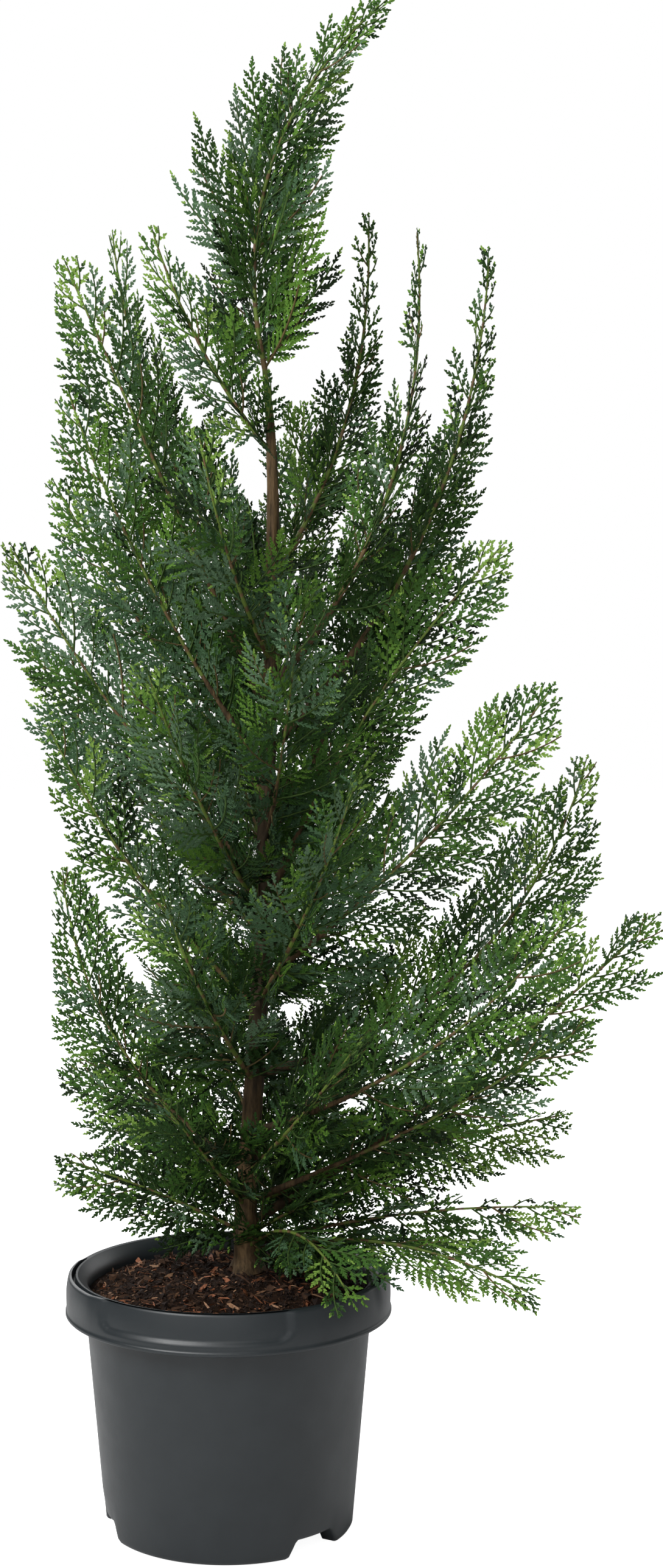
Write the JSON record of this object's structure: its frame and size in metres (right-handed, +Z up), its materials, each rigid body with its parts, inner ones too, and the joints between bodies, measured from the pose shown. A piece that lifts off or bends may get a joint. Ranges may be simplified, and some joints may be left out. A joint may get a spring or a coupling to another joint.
{
  "type": "potted lawson cypress",
  "caption": "Young Lawson cypress with a leaning leader and flat scale-leaved sprays, standing in a round tapered nursery pot with a wide collar and three broad feet.",
  "frame": {"origin": "centre of the pot's flat underside, on the ground", "axes": "+Z up along the pot's axis; -Y is the side that faces the viewer in the picture"},
  "size_m": [0.4797, 0.3287, 1.1027],
  "materials": {
    "pot": "fine-grained anthracite nursery plastic",
    "soil": "dark peat with chips of bark",
    "trunk": "fibrous red-brown bark",
    "bough_right_flat": "thin red-brown bark",
    "bough_right_strong_low": "thin red-brown bark",
    "bough_right_strong": "thin red-brown bark",
    "bough_right_fan_low": "thin red-brown bark",
    "bough_right_fan": "thin red-brown bark",
    "bough_right_mid": "thin red-brown bark",
    "bough_right_shoulder": "thin red-brown bark",
    "bough_right_back": "thin red-brown bark",
    "bough_right_high": "thin red-brown bark",
    "bough_right_plume": "thin red-brown bark",
    "bough_left_low": "thin red-brown bark",
    "bough_left_wide": "thin red-brown bark",
    "bough_left_shoulder": "thin red-brown bark",
    "bough_left_high": "thin red-brown bark",
    "bough_front_bough": "thin red-brown bark",
    "bough_back_right": "thin red-brown bark",
    "foliage_leader": "scale-leaved green sprays",
    "foliage_right_lowest": "scale-leaved green sprays",
    "foliage_right_foot": "scale-leaved green sprays",
    "foliage_right_flat": "scale-leaved green sprays",
    "foliage_right_thin": "scale-leaved green sprays",
    "foliage_right_strong_low": "scale-leaved green sprays",
    "foliage_right_strong": "scale-leaved green sprays",
    "foliage_right_fan_low": "scale-leaved green sprays",
    "foliage_right_fan": "scale-leaved green sprays",
    "foliage_right_mid": "scale-leaved green sprays",
    "foliage_right_shoulder": "scale-leaved green sprays",
    "foliage_right_back": "scale-leaved green sprays",
    "foliage_right_high": "scale-leaved green sprays",
    "foliage_right_plume": "scale-leaved green sprays",
    "foliage_right_inner": "scale-leaved green sprays",
    "foliage_left_lowest": "scale-leaved green sprays",
    "foliage_left_lower": "scale-leaved green sprays",
    "foliage_left_low": "scale-leaved green sprays",
    "foliage_left_mid_front": "scale-leaved green sprays",
    "foliage_left_mid": "scale-leaved green sprays",
    "foliage_left_wide": "scale-leaved green sprays",
    "foliage_left_outer": "scale-leaved green sprays",
    "foliage_left_shoulder": "scale-leaved green sprays",
    "foliage_left_high": "scale-leaved green sprays",
    "foliage_left_high_back": "scale-leaved green sprays",
    "foliage_crown_left": "scale-leaved green sprays",
    "foliage_front_drape": "scale-leaved green sprays",
    "foliage_front_left_foot": "scale-leaved green sprays",
    "foliage_front_right_low": "scale-leaved green sprays",
    "foliage_front_left_low": "scale-leaved green sprays",
    "foliage_front_right": "scale-leaved green sprays",
    "foliage_front_left": "scale-leaved green sprays",
    "foliage_front_bough": "scale-leaved green sprays",
    "foliage_front_high": "scale-leaved green sprays",
    "foliage_back_foot": "scale-leaved green sprays",
    "foliage_back_right_low": "scale-leaved green sprays",
    "foliage_back_left_low": "scale-leaved green sprays",
    "foliage_back_mid": "scale-leaved green sprays",
    "foliage_back_right": "scale-leaved green sprays",
    "foliage_back_left": "scale-leaved green sprays",
    "foliage_back_high": "scale-leaved green sprays"
  },
  "bodies": {
    "root": {"pot": "pot", "soil": "soil", "trunk": "trunk", "bough_right_flat": "bough_right_flat", "bough_right_strong_low": "bough_right_strong_low", "bough_right_strong": "bough_right_strong", "bough_right_fan_low": "bough_right_fan_low", "bough_right_fan": "bough_right_fan", "bough_right_mid": "bough_right_mid", "bough_right_shoulder": "bough_right_shoulder", "bough_right_back": "bough_right_back", "bough_right_high": "bough_right_high", "bough_right_plume": "bough_right_plume", "bough_left_low": "bough_left_low", "bough_left_wide": "bough_left_wide", "bough_left_shoulder": "bough_left_shoulder", "bough_left_high": "bough_left_high", "bough_front_bough": "bough_front_bough", "bough_back_right": "bough_back_right", "foliage_leader": "foliage_leader", "foliage_right_lowest": "foliage_right_lowest", "foliage_right_foot": "foliage_right_foot", "foliage_right_flat": "foliage_right_flat", "foliage_right_thin": "foliage_right_thin", "foliage_right_strong_low": "foliage_right_strong_low", "foliage_right_strong": "foliage_right_strong", "foliage_right_fan_low": "foliage_right_fan_low", "foliage_right_fan": "foliage_right_fan", "foliage_right_mid": "foliage_right_mid", "foliage_right_shoulder": "foliage_right_shoulder", "foliage_right_back": "foliage_right_back", "foliage_right_high": "foliage_right_high", "foliage_right_plume": "foliage_right_plume", "foliage_right_inner": "foliage_right_inner", "foliage_left_lowest": "foliage_left_lowest", "foliage_left_lower": "foliage_left_lower", "foliage_left_low": "foliage_left_low", "foliage_left_mid_front": "foliage_left_mid_front", "foliage_left_mid": "foliage_left_mid", "foliage_left_wide": "foliage_left_wide", "foliage_left_outer": "foliage_left_outer", "foliage_left_shoulder": "foliage_left_shoulder", "foliage_left_high": "foliage_left_high", "foliage_left_high_back": "foliage_left_high_back", "foliage_crown_left": "foliage_crown_left", "foliage_front_drape": "foliage_front_drape", "foliage_front_left_foot": "foliage_front_left_foot", "foliage_front_right_low": "foliage_front_right_low", "foliage_front_left_low": "foliage_front_left_low", "foliage_front_right": "foliage_front_right", "foliage_front_left": "foliage_front_left", "foliage_front_bough": "foliage_front_bough", "foliage_front_high": "foliage_front_high", "foliage_back_foot": "foliage_back_foot", "foliage_back_right_low": "foliage_back_right_low", "foliage_back_left_low": "foliage_back_left_low", "foliage_back_mid": "foliage_back_mid", "foliage_back_right": "foliage_back_right", "foliage_back_left": "foliage_back_left", "foliage_back_high": "foliage_back_high"}
  },
  "joints": []
}
